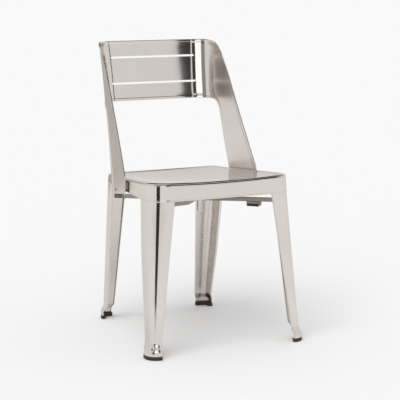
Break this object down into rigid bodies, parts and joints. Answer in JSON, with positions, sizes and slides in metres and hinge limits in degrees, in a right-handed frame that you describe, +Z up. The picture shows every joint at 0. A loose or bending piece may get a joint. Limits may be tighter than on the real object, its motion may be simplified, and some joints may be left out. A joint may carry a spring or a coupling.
{
  "type": "metal stacking chair",
  "caption": "Sheet-metal cafe chair with a dished seat pan, splayed angle legs, rubber-shod feet, crossed braces and a wrap-around back with two slots.",
  "frame": {"origin": "on the floor, under the middle of the chair's overall box", "axes": "+Z up, +Y towards the back of the chair, -Y the way the sitter faces, X across"},
  "size_m": [0.4696, 0.5042, 0.803],
  "materials": {
    "polished_steel": "polished, faint grain, warm nickel tone",
    "inner_steel": "bright rolled sheet, duller than the outside",
    "brace_steel": "dull clear-coated steel, olive grey",
    "fastener_steel": "zinc plated",
    "rubber": "matt black moulded rubber"
  },
  "bodies": {
    "root": {"arm_spacers": "inner_steel", "back_band": "polished_steel", "boot_front_left": "rubber", "boot_front_right": "rubber", "boot_rear_left": "rubber", "boot_rear_right": "rubber", "brace_lower": "brace_steel", "brace_rivet": "fastener_steel", "brace_upper": "brace_steel", "bumper_bracket_left": "brace_steel", "bumper_bracket_right": "brace_steel", "bumper_pad_left": "rubber", "bumper_pad_right": "rubber", "bumper_screws": "fastener_steel", "corner_plate_front_left": "inner_steel", "corner_plate_front_right": "inner_steel", "corner_plate_rear_left": "inner_steel", "corner_plate_rear_right": "inner_steel", "leg_front_left": "polished_steel", "leg_front_right": "polished_steel", "leg_rear_left": "polished_steel", "leg_rear_right": "polished_steel", "seat_pan": "polished_steel"}
  },
  "joints": []
}
